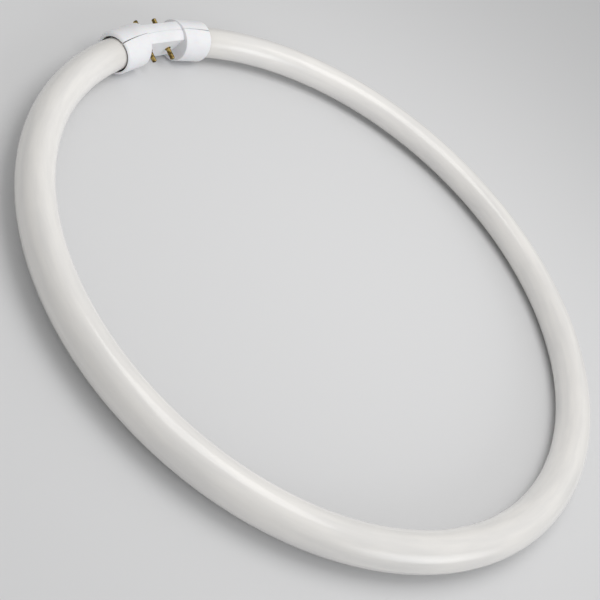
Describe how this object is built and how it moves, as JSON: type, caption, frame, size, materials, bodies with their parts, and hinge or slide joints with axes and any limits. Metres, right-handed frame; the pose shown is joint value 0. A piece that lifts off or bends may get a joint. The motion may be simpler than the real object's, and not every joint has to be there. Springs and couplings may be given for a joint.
{
  "type": "circular fluorescent tube",
  "caption": "White circular lamp tube whose ends meet in a moulded cap with contact pins on its inner and outer sides.",
  "frame": {"origin": "centre of the ring, on the tube's middle plane", "axes": "+Z along the ring's axis, +Y from the ring's centre to the middle of the cap"},
  "size_m": [0.3, 0.3047, 0.0219],
  "materials": {
    "coated_glass": "clear glass with a white powder coat inside, so it is opaque",
    "cap_plastic": "satin white moulding",
    "pin_brass": "drawn, slightly dulled",
    "lead_wire": "bare wire"
  },
  "bodies": {
    "root": {"glass_tube": "coated_glass", "cap_inner_half": "cap_plastic", "cap_outer_half": "cap_plastic", "pin_inner_left": "pin_brass", "pin_inner_right": "pin_brass", "pin_outer_left": "pin_brass", "pin_outer_right": "pin_brass", "lead_inner_left": "lead_wire", "lead_inner_right": "lead_wire", "lead_outer_left": "lead_wire", "lead_outer_right": "lead_wire"}
  },
  "joints": []
}
